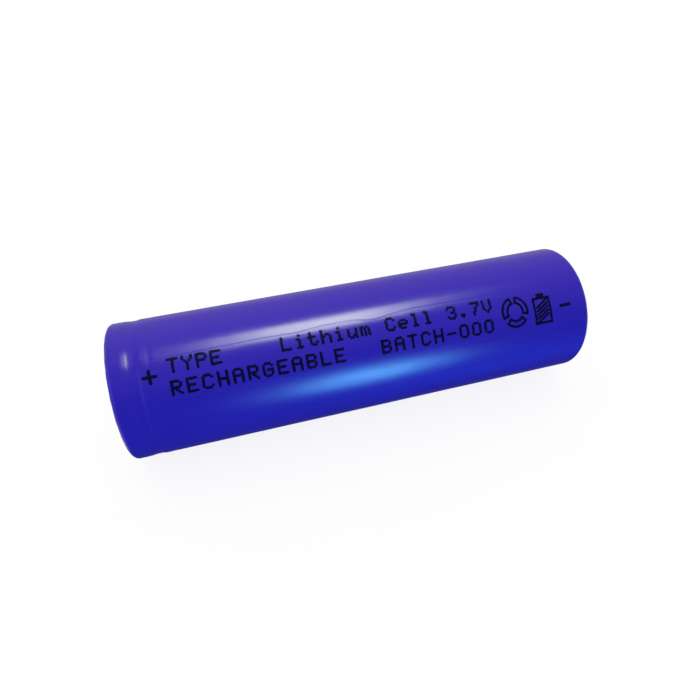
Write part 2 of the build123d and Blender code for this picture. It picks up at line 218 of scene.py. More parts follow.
def hairlines():
    """Thin scratches from handling: noise drawn out a long way across the lid, with only its peaks kept."""
    group, takes, gives = effect("hairlines", {"Mask": "value"}, Scale=5200.0, Level=0.66)
    place = put(group, "TexCoord").outputs["Object"]
    marks = 0.0
    for turn in SCRATCH_TURNS:
        laid = put(
            group, "Mapping", {"vector_type": "TEXTURE"}, Vector=place,
            Rotation=(turn, 0, 0), Scale=(1.0, SCRATCH_LENGTH, 1.0)).outputs[0]
        drawn = put(group, "TexNoise", Vector=laid, Scale=takes["Scale"], Detail=1.0).outputs["Fac"]
        full = sum_of(group, "ADD", takes["Level"], 0.05)
        marks = sum_of(group, "MAXIMUM", marks, spread_of(group, drawn, takes["Level"], full, 0.0, 1.0))
    join(group, marks, gives["Mask"])
    return group


HAIRLINES = hairlines()
print("effect:", HAIRLINES.name, "in", len(SCRATCH_TURNS), "directions")


# %% Effect: grain
def grain():
    """A close, even roughness: moulded plastic, coated foil, pressed board."""
    group, takes, gives = effect("grain", {"Grain": "value", "Pits": "value"}, Scale=9000.0, Pit_size=0.36)
    place = put(group, "TexCoord").outputs["Object"]
    texture = put(group, "TexNoise", Vector=place, Scale=takes["Scale"], Detail=5.0, Roughness=0.7)
    noise = texture.outputs["Fac"]
    join(group, noise, gives["Grain"])
    # The second output marks the grain's low spots, where finishes paint shade into their hollows.
    floor = sum_of(group, "SUBTRACT", takes["Pit size"], 0.05)
    join(group, spread_of(group, noise, floor, takes["Pit size"], 1.0, 0.0), gives["Pits"])
    return group


GRAIN = grain()
print("effect:", GRAIN.name)


# %% Effect: fibres
def fibres():
    """Short crossing hairs, as in paper and fibre board: two stretched noises at an angle."""
    group, takes, gives = effect("fibres", {"Fibres": "value"}, Scale=5000.0)
    place = put(group, "TexCoord").outputs["Object"]
    layers = []
    for turn in (0.5, 2.0):
        laid = put(
            group, "Mapping", {"vector_type": "POINT"}, Vector=place,
            Rotation=(turn, 0.0, 0.0), Scale=(1.0, 0.15, 1.0)).outputs[0]
        layers.append(put(group, "TexNoise", Vector=laid, Scale=takes["Scale"], Detail=3.0).outputs["Fac"])
    join(group, sum_of(group, "MAXIMUM", *layers), gives["Fibres"])
    return group


FIBRES = fibres()
print("effect:", FIBRES.name)


# %% Place an effect in a material
def use(tree, group, **sockets):
    """An effect with its own values, as its outputs."""
    return put(tree, "Group", {"node_tree": group}, **sockets).outputs


def cloud_in(tree, colour, other, scale, amount):
    """The cloudy colour of a finish, from two plain colours."""
    return use(tree, CLOUDY, Color=(*colour, 1), Other=(*other, 1), Scale=scale, Amount=amount)["Color"]


def relief(tree, sockets, height, depth, under=None):
    """Turns a value into bumps this deep, in metres, on top of any earlier bumps."""
    bump = put(tree, "Bump", Strength=1.0, Distance=depth, Height=height)
    if under is not None:
        join(tree, under, bump.inputs["Normal"])
    join(tree, bump.outputs[0], sockets["Normal"])
    return bump.outputs[0]


print("effects:", [g.name for g in bpy.data.node_groups])

# %% [markdown]
# ## The sleeve film
# The wrap is heat-shrink tube: thin vinyl, coloured right through and glossy as it comes from the die.
# It reflects its surroundings with a violet cast. The die leaves faint lines along the tube, and shrinking
# over the can leaves a very fine orange peel. Both are far too small to model, so they are bumps.

# %% Finish: sleeve film
FILM_BLUE = (0.0086, 0.0086, 0.415)
FILM_BLUE_DEEPER = (0.008, 0.0082, 0.392)
FILM_SHEEN = (0.77, 0.44, 1.0, 1)


def sleeve_film():
    material, tree, sockets = finish(
        "sleeve film", FILM_BLUE, 0.2, IOR=1.5, Specular_IOR_Level=0.65, Specular_Tint=FILM_SHEEN)
    join(tree, cloud_in(tree, FILM_BLUE, FILM_BLUE_DEEPER, 90.0, 0.5), sockets["Base Color"])
    lines = use(tree, LINES, Stretch=(0.03, 1.0, 1.0), Scale=3500.0, Contrast=1.2)["Lines"]
    join(tree, spread_of(tree, lines, 0.2, 0.8, 0.17, 0.24), sockets["Roughness"])
    first = relief(tree, sockets, lines, 0.0000012)
    peel = use(tree, GRAIN, Scale=1600.0)["Grain"]
    relief(tree, sockets, peel, 0.0000015, under=first)
    return material


FILM = sleeve_film()
print("made", FILM.name)

# %% [markdown]
# ## Printing ink
# The rating is printed with a dot printer straight on the film: a dark solvent ink that dries almost flat
# and much less shiny than the film around it.

# %% Finish: printing ink
INK_DARK = (0.0006, 0.0006, 0.018)
INK_THIN = (0.0014, 0.0014, 0.042)


def printing_ink():
    material, tree, sockets = finish("printing ink", INK_DARK, 0.45, Specular_IOR_Level=0.04)
    join(tree, cloud_in(tree, INK_DARK, INK_THIN, 2600.0, 0.8), sockets["Base Color"])
    rough = use(tree, GRAIN, Scale=14000.0)["Grain"]
    join(tree, spread_of(tree, rough, 0.3, 0.7, 0.3, 0.48), sockets["Roughness"])
    relief(tree, sockets, rough, 0.000002)
    return material


INK = printing_ink()
print("made", INK.name)

# %% [markdown]
# ## Metals
# The can and the cap are nickel-plated steel. Pressing and crimping leave faint rings on both, and sorting
# and testing leave hairlines. The centre pin is bare rolled steel, the lid parts and the cathode tab are
# aluminium, and the anode tab is nickel strip. Rolled and drawn stock has its marks along one direction.

# %% A metal, with its marks
MARK_SCALE = 7000.0
HAIRLINE_BRIGHTER, HAIRLINE_SHARE = 1.25, 0.4
HAIRLINE_ROUGHER, HAIRLINE_DEPTH = 0.12, 0.000001


def metal(name, colour, other, roughness, stretch=None, depth=0.000003, scratches=0.68):
    """Marks run one way where stretch is given, else in rings. A higher scratches leaves fewer hairlines."""
    material, tree, sockets = finish(name, colour, roughness, metallic=1.0)
    marks = use(tree, HAIRLINES, Level=scratches)["Mask"]
    bright = tuple(min(1.0, c * HAIRLINE_BRIGHTER) for c in colour)
    clouded = cloud_in(tree, colour, other, 350.0, 0.6)
    scratched = mix_of(tree, sum_of(tree, "MULTIPLY", marks, HAIRLINE_SHARE), clouded, (*bright, 1))
    join(tree, scratched, sockets["Base Color"])
    if stretch:
        lines = use(tree, LINES, Stretch=stretch, Scale=MARK_SCALE, Contrast=1.4)["Lines"]
    else:
        lines = use(tree, RINGS, Scale=MARK_SCALE)["Rings"]
    rough = spread_of(tree, lines, 0.25, 0.75, roughness - 0.07, roughness + 0.09)
    rougher = sum_of(tree, "MULTIPLY", marks, HAIRLINE_ROUGHER)
    join(tree, sum_of(tree, "ADD", rough, rougher), sockets["Roughness"])
    under = relief(tree, sockets, lines, depth)
    relief(tree, sockets, sum_of(tree, "SUBTRACT", 1.0, marks), HAIRLINE_DEPTH, under=under)
    return material


print("helper:", metal.__name__)

# %% Finishes: steel, aluminium, nickel
ALONG = (0.04, 1.0, 1.0)
AROUND = (1.0, 0.05, 0.05)
THIN_MARKS = 0.000001
NICKEL_PLATED = metal("nickel plated steel", (0.62, 0.59, 0.54), (0.50, 0.475, 0.43), 0.26)
PIN_STEEL = metal("centre pin steel", (0.50, 0.49, 0.47), (0.40, 0.39, 0.37), 0.34, ALONG)
ALUMINIUM = metal("aluminium", (0.76, 0.77, 0.78), (0.66, 0.67, 0.68), 0.3, scratches=0.7)
NICKEL_STRIP = metal("nickel strip", (0.60, 0.56, 0.49), (0.50, 0.46, 0.40), 0.3, ALONG)
COPPER = metal("copper foil", (0.80, 0.40, 0.24), (0.66, 0.30, 0.17), 0.3, AROUND, THIN_MARKS)
FOIL = metal("aluminium foil", (0.78, 0.79, 0.80), (0.70, 0.71, 0.72), 0.22, AROUND, THIN_MARKS)
print("metals:", [m.name for m in (NICKEL_PLATED, PIN_STEEL, ALUMINIUM, NICKEL_STRIP, COPPER, FOIL)])

# %% [markdown]
# ## Plastics, coatings and tapes
# The gasket and the small insulators are moulded polypropylene. The electrodes are foils with a matt
# powder coating: graphite on copper, metal oxide on aluminium. The coatings and the conductive polymer get
# painted shade in their small hollows. The separator is a white porous film. The tapes are thin glossy
# films with the soft waves of a hand-laid strip.


# %% A plastic or coating, with its grain and painted shade in its hollows
def grained(name, colour, other, roughness, scale=9000.0, depth=0.000004, cloud_scale=500.0, pits=0.0):
    """The last argument is painted shade: how much darker the small hollows of a powder coating are made."""
    material, tree, sockets = finish(name, colour, roughness)
    texture = use(tree, GRAIN, Scale=scale)
    # Painted shade: the grain's hollows are darkened towards half the colour.
    painted_pit_shade = sum_of(tree, "MULTIPLY", texture["Pits"], pits)
    dark = tuple(c * 0.5 for c in colour)
    clouded = cloud_in(tree, colour, other, cloud_scale, 0.7)
    join(tree, mix_of(tree, painted_pit_shade, clouded, (*dark, 1)), sockets["Base Color"])
    rough = spread_of(tree, texture["Grain"], 0.3, 0.7, roughness - 0.08, roughness + 0.08)
    join(tree, rough, sockets["Roughness"])
    relief(tree, sockets, texture["Grain"], depth)
    return material


print("helper:", grained.__name__)

# %% Finishes: moulded and coated pieces
POLYPROPYLENE = grained("polypropylene", (0.022, 0.022, 0.024), (0.034, 0.034, 0.036), 0.42)
PTC = grained("conductive polymer", (0.035, 0.035, 0.037), (0.05, 0.05, 0.05), 0.55, 14000.0, pits=0.4)
SEPARATOR = grained(
    "separator film", (0.84, 0.84, 0.82), (0.78, 0.78, 0.77), 0.5, depth=0.000002, cloud_scale=900.0)
GRAPHITE = grained("graphite coat", (0.012, 0.012, 0.0135), (0.02, 0.02, 0.021), 0.62, 16000.0, pits=0.5)
OXIDE = grained("oxide coat", (0.008, 0.008, 0.0095), (0.014, 0.013, 0.014), 0.72, 20000.0, pits=0.6)
ROLL_TAPE = grained("roll tape", (0.012, 0.12, 0.062), (0.016, 0.15, 0.08), 0.28, 1500.0, 0.000003)
TAB_TAPE = grained("tab tape", (0.58, 0.27, 0.03), (0.48, 0.21, 0.02), 0.25, 1500.0, 0.000003)
print("plastics:", [m.name for m in (POLYPROPYLENE, PTC, SEPARATOR, GRAPHITE, OXIDE, ROLL_TAPE, TAB_TAPE)])

# %% [markdown]
# ## Paper and board
# The ring under the sleeve's fold is white insulating paper, and the discs above and below the roll are
# thin glass-filled board. Both show short fibres rather than an even grain.


# %% Paper and board, with their fibres
def fibrous(name, colour, other, roughness, depth):
    material, tree, sockets = finish(name, colour, roughness, Specular_IOR_Level=0.25)
    threads = use(tree, FIBRES)["Fibres"]
    shade = spread_of(tree, threads, 0.5, 0.7, 0.0, 0.55)
    shaded = mix_of(tree, shade, cloud_in(tree, colour, other, 700.0, 0.6), (*other, 1))
    join(tree, shaded, sockets["Base Color"])
    rough = spread_of(tree, threads, 0.4, 0.7, roughness + 0.05, roughness - 0.1)
    join(tree, rough, sockets["Roughness"])
    relief(tree, sockets, threads, depth)
    return material


PAPER = fibrous("insulating paper", (0.80, 0.81, 0.79), (0.66, 0.665, 0.64), 0.85, 0.000008)
BOARD = fibrous("insulator board", (0.78, 0.78, 0.71), (0.66, 0.66, 0.58), 0.6, 0.000006)
print("fibrous:", PAPER.name, BOARD.name)

# %% [markdown]
# ## Finishes for the model's own pieces
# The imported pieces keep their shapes. Each has a material slot named for what it is made of, so a table
# from those names to the finishes above is enough to dress all of them.

# %% Give every piece of the model its finish
FINISH_OF_SLOT = {
    "sleeve_film": FILM, "insulating_paper": PAPER, "nickel_plated_steel": NICKEL_PLATED,
    "polypropylene": POLYPROPYLENE, "aluminium": ALUMINIUM, "ptc_polymer": PTC, "insulator_board": BOARD,
    "centre_pin_steel": PIN_STEEL, "separator_film": SEPARATOR, "copper_foil": COPPER,
    "graphite_coat": GRAPHITE, "aluminium_foil": FOIL, "oxide_coat": OXIDE, "roll_tape": ROLL_TAPE,
    "nickel_strip": NICKEL_STRIP, "tab_tape": TAB_TAPE,
}
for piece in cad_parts.values():
    for place, old in enumerate(piece.data.materials):
        piece.data.materials[place] = FINISH_OF_SLOT[old.name.split(".")[0]]
print("finishes given to", len(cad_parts), "nodes")

# %% [markdown]
# Pieces that only this script makes, such as the detailed sleeve, the print and the table, start as a plain
# list of points and faces. One helper turns that into an object with its finish.


# %% Make a mesh piece
def mesh_piece(name, points, faces, material, smooth=True):
    """A new object from points in metres and the faces between them."""
    mesh = bpy.data.meshes.new(name)
    mesh.from_pydata(points, [], faces)
    mesh.validate()
    if smooth:
        mesh.shade_smooth()
    mesh.materials.append(material)
    piece = bpy.data.objects.new(name, mesh)
    bpy.context.scene.collection.objects.link(piece)
    return piece


print("helper:", mesh_piece.__name__)

# %% [markdown]
# ## The shape of the sleeve
# On the bench the wrap is cut from flat-laid tube, slipped over the can with a paper ring on the lid, and
# shrunk with hot air. It follows the groove that the crimping roller leaves near the positive end, rolls
# over both rims and puckers where it has too much material for the smaller circle. The tube was stored
# flat, so two faint crease lines stay along it, opposite each other.
#
# A plain cylinder can't hold that, so the sleeve is made as one outline, from lip to lip, turned about the
# axis. Each point of it is then pushed in or out by a few small amounts that depend on where it is. From
# here on, sizes are in mm until a mesh is made.

# %% Read the sleeve's sizes
low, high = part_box("shrink_sleeve")
RADIUS = high.z / MM
PLUS_END = low.x / MM
MINUS_END = high.x / MM
WALL = 0.09
PLUS_CORNER, MINUS_CORNER = 0.6, 0.5
PLUS_LIP, MINUS_LIP = 7.6, 7.4
print(f"sleeve: radius {RADIUS:.2f} mm, from {PLUS_END:.2f} to {MINUS_END:.2f} mm")

# %% The dip over the can's bead
GROOVE_AT, GROOVE_DEPTH, GROOVE_FLOOR = -29.22, 0.08, 0.2
SLOPE_TO_END, SLOPE_TO_BARREL = 1.32, 0.72
CRIMP_EDGE_AT, CRIMP_EDGE_DEPTH, CRIMP_EDGE_WIDTH = -30.08, 0.017, 0.3
SETTLES_AT, SETTLES_DEPTH, SETTLES_WIDTH = -27.25, 0.013, 0.36


def soft_step(value):
    """Goes from 0 to 1 with no corner at either end."""
    value = np.clip(value, 0, 1)
    return value * value * (3 - 2 * value)


def groove(x):
    """The dip over the bead, sharper at the crimp, and a second, shallow one where the film settles again."""
    away = x - GROOVE_AT
    slope = np.where(away < 0, SLOPE_TO_END, SLOPE_TO_BARREL)
    hollow = 1 - soft_step((np.abs(away) - GROOVE_FLOOR) / slope)
    crimp_edge = hollow * soft_step((x - CRIMP_EDGE_AT) / CRIMP_EDGE_WIDTH)
    settling = np.exp(-(((x - SETTLES_AT) / SETTLES_WIDTH) ** 2))
    return -GROOVE_DEPTH * hollow - CRIMP_EDGE_DEPTH * crimp_edge - SETTLES_DEPTH * settling


print("dip at the groove:", round(float(groove(np.array(GROOVE_AT))), 3), "mm")

# %% [markdown]
# Two smaller things break up the reflections on the barrel. Heat never reaches every side alike, so the
# film keeps slow, very shallow waves. The fold lines of the flat-laid tube stay as hairline ridges that
# wander a little. Both are in the mesh rather than in a bump.

# %% Slow waves
WAVE_HEIGHT = 0.0022


def slow_waves(x, angle):
    """Very shallow hills, a few millimetres across, where the film has shrunk unevenly."""
    rise = np.sin(x * 0.31 + 2.0 * np.sin(angle)) + np.sin(x * 0.83 - 3 * angle + 1.0)
    rise = rise + 0.6 * np.sin(x * 1.9 + 5 * angle) + 0.5 * np.sin(7 * angle + 0.2 * x)
    return WAVE_HEIGHT * rise


print("one wave at the middle, on top:", round(float(slow_waves(0.0, 0.0)), 4), "mm")

# %% The two creases
CREASE_WAY = ((-30, 25.2), (-22, 25.2), (-14, 24.7), (-9, 25.4), (-5.6, 23.8), (-1.6, 23.9), (1.0, 26.8),
              (3.4, 25.0), (6.2, 23.5), (10.8, 23.8), (16, 24.4), (31, 24.8))
CREASE_HEIGHT, CREASE_WIDTH = 0.011, 0.055
CREASE_CENTRE, CREASE_REACH, CREASE_FADE = -1, 19, 9


def crease_angle(x):
    """Where the crease runs, in degrees from straight up towards the front, at each place along the cell."""
    return np.interp(x, *zip(*CREASE_WAY))


def from_angle(angle, centre):
    """How far an angle lies from another one, the short way round."""
    return np.mod(angle - centre + np.pi, 2 * np.pi) - np.pi


def crease(x, angle):
    """A hairline ridge on each side of the tube, fading out before the ends."""
    ridge = 0
    for side, strength in ((0, 1.0), (180, 0.8)):
        away = from_angle(angle, np.radians(crease_angle(x) + side)) * RADIUS
        ridge = ridge + strength * np.exp(-((away / CREASE_WIDTH) ** 2))
    return CREASE_HEIGHT * ridge * (1 - soft_step((np.abs(x - CREASE_CENTRE) - CREASE_REACH) / CREASE_FADE))


def film_rise(x, angle):
    """How far the film's outside stands from the plain cylinder, in mm, on the barrel."""
    return groove(x) + slow_waves(x, angle) + crease(x, angle)


print("crease at the middle:", round(float(crease_angle(0)), 1), "degrees from the top")

# %% [markdown]
# The outline is walked from the positive lip, over the rim, along the barrel and over the other rim, as
# pairs of a place along the cell and a radius. `out` says how much a point belongs to the barrel, where
# unevenness moves it outwards, and `fold` how much it belongs to a folded rim, where puckers lift it. The
# points lie close together over the groove and further apart on the plain barrel.

# %% The outline from lip to lip
FLAT_STEPS, CORNER_POINTS = 8, 15
RIM_POINTS = FLAT_STEPS + CORNER_POINTS
GROOVE_STEP, GROOVE_RINGS_TO = 0.085, -26.6
BARREL_FROM, BARREL_RINGS = -26.5, 94
FOLD_AT_CORNER = 0.55


def folded_rim(end, side, corner, lip):
    """One rim, from its lip outwards. side is -1 at the positive end and 1 at the other."""
    flat = RADIUS - corner
    rows = []
    for step in np.linspace(0, 1, FLAT_STEPS + 1)[:-1]:
        rows.append((end, lip + step * (flat - lip), 0.0, 1 - (1 - FOLD_AT_CORNER) * step, side))
    for turn in np.linspace(0, math.pi / 2, CORNER_POINTS):
        out = math.sin(turn)
        place = end - side * corner * (1 - math.cos(turn))
        rows.append((place, flat + corner * out, out ** 4, FOLD_AT_CORNER * (1 - out), side))
    return rows


def sleeve_outline():
    """Rows of a place, a radius, out, fold and which end, from one lip to the other."""
    over_groove = np.arange(PLUS_END + PLUS_CORNER + 0.08, GROOVE_RINGS_TO, GROOVE_STEP)
    barrel = np.linspace(BARREL_FROM, MINUS_END - MINUS_CORNER - 0.05, BARREL_RINGS)
    rows = folded_rim(PLUS_END, -1, PLUS_CORNER, PLUS_LIP)
    rows += [(x, RADIUS, 1.0, 0.0, 0) for x in np.concatenate([over_groove, barrel])]
    return np.array(rows + folded_rim(MINUS_END, 1, MINUS_CORNER, MINUS_LIP)[::-1])


OUTLINE = sleeve_outline()
print("outline:", len(OUTLINE), "points")

# %% [markdown]
# The ring angles are even, apart from a few extra lines that follow the two creases, so that the ridge is
# real geometry. Around a ring the mesh slides sideways to keep those lines on the crease as it wanders.

# %% The angles around a ring
EVEN_LINES = 372
CREASE_MIDDLE = 24.8
CREASE_LINES = (-0.16, -0.11, -0.075, -0.045, -0.02, 0.02, 0.045, 0.075, 0.11, 0.16)
TOO_CLOSE = 0.006
SLIDES_WHOLE, SLIDES_LESS_OVER = 0.06, 0.35
CREASE_CENTRES = (math.radians(CREASE_MIDDLE), math.radians(CREASE_MIDDLE) - math.pi)


def ring_angles():
    """Even angles with the crease lines, which are given in mm from each crease, put in between."""
    even = np.linspace(-math.pi, math.pi, EVEN_LINES, endpoint=False)
    lines = [centre + away for centre in CREASE_CENTRES for away in np.array(CREASE_LINES) / RADIUS]
    near = [angle for angle in even if min(abs(angle - line) for line in lines) > TOO_CLOSE]
    return np.sort(np.array(near + lines))


ANGLES = ring_angles()
print("lines around:", len(ANGLES))


# %% Let the lines follow the crease
def angles_at(x):
    """Ring angles at one place along the cell, shifted near each crease so that the lines follow it."""
    shift = math.radians(float(crease_angle(x)) - CREASE_MIDDLE)
    moved = ANGLES.copy()
    for centre in CREASE_CENTRES:
        away = np.abs(from_angle(ANGLES, centre))
        moved += shift * (1 - soft_step((away - SLIDES_WHOLE) / SLIDES_LESS_OVER))
    return moved


largest = math.degrees(np.max(np.abs(angles_at(1.0) - ANGLES)))
print("largest shift at 1 mm:", round(largest, 2), "degrees")

# %% [markdown]
# Shrink film has nowhere to put its spare length when it closes over a rim, so it gathers in small, uneven
# puckers. They are sums of waves around the rim, in whole numbers so that they close on themselves, and
# differ at the two ends. They are strongest at the cut lip and vanish at the rim's outer corner.

# %% Puckers on the folded rims
PUCKER_HEIGHT, PUCKER_LIFT, PUCKER_FLOOR = 0.028, 0.012, -0.004
LEAN_OUTWARDS = 0.35


def pucker_pattern(angle, end):
    """Uneven gathers around a rim."""
    if end < 0:
        wave = np.sin(23 * angle + 0.9 * np.sin(3 * angle))
        wave = wave + 0.7 * np.sin(37 * angle + 1.3) * np.sin(2 * angle + 0.5)
        return wave + 0.5 * np.sin(11 * angle + 2)
    wave = np.sin(19 * angle + 1.1 * np.sin(4 * angle + 1))
    wave = wave + 0.7 * np.sin(31 * angle + 0.4) * np.sin(3 * angle)
    return wave + 0.5 * np.sin(13 * angle + 0.7)


def lip_wander(angle, end):
    """The cut edge isn't a true circle: it wanders by a tenth or two of a millimetre."""
    return 0.09 * np.sin(3 * angle + end) + 0.05 * np.sin(8 * angle + 2 * end) + 0.03 * np.sin(17 * angle)


highest = float(np.max(pucker_pattern(ANGLES, -1))) * PUCKER_HEIGHT + PUCKER_LIFT
print("highest pucker at the positive end:", round(highest, 3), "mm")


# %% Turn the outline into rings of points
def sleeve_rings(outline, inset):
    """Points of one skin. inset is how far inside the outer skin it lies, in mm."""
    rings = []
    for x, radius, out, fold, end in outline:
        angle = angles_at(x)
        rise = out * film_rise(x, angle) if out else 0.0
        waves = pucker_pattern(angle, end) * PUCKER_HEIGHT + PUCKER_LIFT
        gather = fold * np.maximum(waves, PUCKER_FLOOR)
        place = np.full(len(angle), x) + end * gather
        reach = radius + rise + LEAN_OUTWARDS * gather * (1 - out) - fold ** 3 * lip_wander(angle, end)
        if inset:
            lean = out ** 0.25
            reach = reach - inset * lean
            place = place - end * inset * math.sqrt(max(0.0, 1 - lean * lean))
        rings.append(np.stack([place, -reach * np.sin(angle), reach * np.cos(angle)], axis=1))
    return rings


outer = sleeve_rings(OUTLINE, 0.0)
print("rings outside:", len(outer))

# %% [markdown]
# Nobody sees the inside, so it gets fewer rings: every second one over the rims and every sixth along the
# barrel. The last ring of the inside joins the first of the outside, which leaves one closed skin.

# %% Join the rings into one closed skin
RIM_SKIP, BARREL_SKIP = 2, 6


def inner_rows(count):
    """Which rows of the outline the inside uses."""
    return np.unique(np.concatenate([
        np.arange(0, RIM_POINTS, RIM_SKIP), np.arange(RIM_POINTS, count - RIM_POINTS, BARREL_SKIP),
        np.arange(count - RIM_POINTS, count, RIM_SKIP), [count - 1]]))


def skin_faces(rings, around):
    """Four-sided faces between each ring and the next, and between the last and the first."""
    faces = []
    for row in range(rings):
        here, there = row * around, (row + 1) % rings * around
        for step in range(around):
            after = (step + 1) % around
            faces.append((here + step, here + after, there + after, there + step))
    return faces


inner = sleeve_rings(OUTLINE[inner_rows(len(OUTLINE))], WALL)
rings = outer + inner[::-1]
points = np.concatenate(rings) * MM
film = mesh_piece("sleeve_film_skin", points.tolist(), skin_faces(len(rings), len(ANGLES)), FILM)
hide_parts("shrink_sleeve")
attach(film, "root")
print("sleeve skin:", len(film.data.polygons), "faces,", len(inner), "rings inside")

# %% [markdown]
# ## The print
# A dot printer throws small drops of ink, seven high for a letter, and the drops run together into
# strokes. The wording here is plain: what the cell is, its voltage, and a batch number of noughts. Each
# letter is written as seven rows of five places, which is how the printer itself stores it.

# %% Letters as rows of dots
LETTERS = {
    "T": "##### ..#.. ..#.. ..#.. ..#.. ..#.. ..#..", "Y": "#...# #...# .#.#. ..#.. ..#.. ..#.. ..#..",
    "P": "####. #...# #...# ####. #.... #.... #....", "E": "##### #.... #.... ####. #.... #.... #####",
    "L": "#.... #.... #.... #.... #.... #.... #####", "C": ".###. #...# #.... #.... #.... #...# .###.",
    "R": "####. #...# #...# ####. #.#.. #..#. #...#", "H": "#...# #...# #...# ##### #...# #...# #...#",
    "A": ".###. #...# #...# ##### #...# #...# #...#", "G": ".###. #...# #.... #.### #...# #...# .###.",
    "B": "####. #...# #...# ####. #...# #...# ####.", "V": "#...# #...# #...# #...# #...# .#.#. ..#..",
    "i": "..#.. ..... .##.. ..#.. ..#.. ..#.. .###.", "t": ".#... .#... ####. .#... .#... .#..# ..##.",
    "h": "#.... #.... #.##. ##..# #...# #...# #...#", "u": "..... ..... #...# #...# #...# #..## .##.#",
    "m": "..... ..... ##.#. #.#.# #.#.# #.#.# #.#.#", "e": "..... ..... .###. #...# ##### #.... .###.",
    "l": ".##.. ..#.. ..#.. ..#.. ..#.. ..#.. .###.", "3": ".###. #...# ....# ..##. ....# #...# .###.",
    "7": "##### ....# ...#. ..#.. ..#.. .#... .#...", ".": "..... ..... ..... ..... ..... .##.. .##..",
    "0": ".###. #...# #...# #...# #...# #...# .###.", "-": "..... ..... ..... ##### ..... ..... .....",
    " ": "..... ..... ..... ..... ..... ..... .....",
}
DOT_STEP = 0.262
print("letters:", len(LETTERS))


# %% Where each drop of ink lands
def around_mm(degrees):
    """A place around the film in mm, from its angle: 0 is straight up, 90 faces the front."""
    return math.radians(degrees) * RADIUS


def word_drops(text, start, top, pitch):
    """Drops for a line of text: places along the cell and around it, both in mm on the film."""
    drops = []
    for place, letter in enumerate(text):
        for row, dots in enumerate(LETTERS[letter].split()):
            for column, dot in enumerate(dots):
                if dot == "#":
                    drops.append((start + place * pitch + column * DOT_STEP, top + row * DOT_STEP))
    return drops


FIRST_LINE = around_mm(28.0)
SECOND_LINE = around_mm(45.4)
words = word_drops("TYPE", -25.15, FIRST_LINE, 1.72)
words += word_drops("Lithium Cell 3.7V", -11.2, FIRST_LINE, 1.745)
words += word_drops("RECHARGEABLE", -25.15, SECOND_LINE, 1.86)
words += word_drops("BATCH-000", 1.65, SECOND_LINE, 1.85)
print("drops in the words:", len(words))

# %% [markdown]
# Beside the words are two small pictures and, at the ends, the polarity signs. The pictures are a ring of
# three bars, for something that goes round again, and an upright cell with a hatched body. Everything
# straight is a stroke: a row of drops with the same step between them.

# %% A stroke of drops, and the ring of bars
BAR_TURN, BAR_START = 92, 12
BAR_EDGES = ((1.86, 13), (1.16, 8))
BAR_ENDS = (1.4, 1.63)
RING_STRETCH = 1.1


def stroke(x, y, step_x, step_y, count):
    """Drops in a straight line, from a first one."""
    return [(x + step_x * step, y + step_y * step) for step in range(count)]


def ring_picture(x, y):
    """Three outlined bars around a circle."""
    def spot(reach, turn):
        return (x + reach * math.sin(turn), y - RING_STRETCH * reach * math.cos(turn))

    drops = []
    for bar in range(3):
        first = math.radians(120 * bar + BAR_START)
        for reach, count in BAR_EDGES:
            for step in range(count):
                drops.append(spot(reach, first + math.radians(BAR_TURN) * step / (count - 1)))
        for turn in (first, first + math.radians(BAR_TURN)):
            drops += [spot(reach, turn) for reach in BAR_ENDS]
    return drops


pictures = ring_picture(21.2, around_mm(42.4))
print("drops in the ring of bars:", len(pictures))


# %% The cell picture and the polarity signs
def cell_picture(x, y):
    """An outlined cell, standing up, with its cap on top and a hatched body."""
    drops = []
    for side in (-1.2, 1.2):
        drops += stroke(x + side, y - 1.4, 0, 0.27, 13)
    for level in (-1.6, 1.9):
        drops += stroke(x - 1.2, y + level, 0.267, 0, 10)
    for level in (-2.1, -1.85):
        drops += stroke(x - 0.4, y + level, 0.27, 0, 4)
    for row in range(5):
        drops += stroke(x - 0.8, y - 0.34 + 0.52 * row, 0.27, -0.17, 7)
    return drops


pictures += cell_picture(25.4, around_mm(44.4))
signs = stroke(-28.25, around_mm(39.0), 0.25, 0, 7)
signs += stroke(-27.5, around_mm(39.0) - 0.75, 0, 0.25, 7)
signs += stroke(28.3, around_mm(44.2), 0.26, 0, 6)
print("drops in the pictures:", len(pictures), "in the signs:", len(signs))

# %% [markdown]
# A drop is a low dome that sits in the film's surface. Its rim starts just under the surface, so no gap
# shows. Real drops land a little off their place and differ in size, so each gets a small seeded change,
# and the whole print leans by a fraction of a degree, because the cell rolls as it passes the head.

# %% The shape of one drop
DOT_RADIUS = 0.222
DROP_SIDES = 12
DOME_RINGS = ((1.0, -0.006), (0.82, 0.006), (0.45, 0.0085))
DOME_TOP = 0.009


def film_point(x, around, lift):
    """A point this far above the film, from its place along and around it in mm."""
    angle = around / RADIUS
    reach = RADIUS + float(film_rise(np.array(x), np.array(angle))) + lift
    return (x * MM, -reach * math.sin(angle) * MM, reach * math.cos(angle) * MM)


def dome_points(x, around, size):
    """Three rings of points, each smaller and higher than the one before, and one on top."""
    points = []
    for share, lift in DOME_RINGS:
        for step in range(DROP_SIDES):
            turn = math.tau * step / DROP_SIDES
            along, sideways = size * share * math.cos(turn), size * share * math.sin(turn)
            points.append(film_point(x + along, around + sideways, lift))
    return points + [film_point(x, around, DOME_TOP)]


def dome_faces(first):
    """Two bands, a fan on top and one face underneath, for a drop whose points start at this number."""
    faces = []
    for ring in (first, first + DROP_SIDES):
        for step in range(DROP_SIDES):
            after = (step + 1) % DROP_SIDES
            faces.append((ring + step, ring + after, ring + DROP_SIDES + after, ring + DROP_SIDES + step))
    last, top = first + 2 * DROP_SIDES, first + 3 * DROP_SIDES
    faces += [(last + step, last + (step + 1) % DROP_SIDES, top) for step in range(DROP_SIDES)]
    faces.append(tuple(first + step for step in reversed(range(DROP_SIDES))))
    return faces


print("points in a drop:", len(dome_points(0.0, FIRST_LINE, DOT_RADIUS)), "faces:", len(dome_faces(0)))

# %% Build the print from domes of ink
SCATTER = 0.012
SIZE_RANGE = (0.92, 1.08)
LEAN, LEAN_FROM = 0.0062, -25


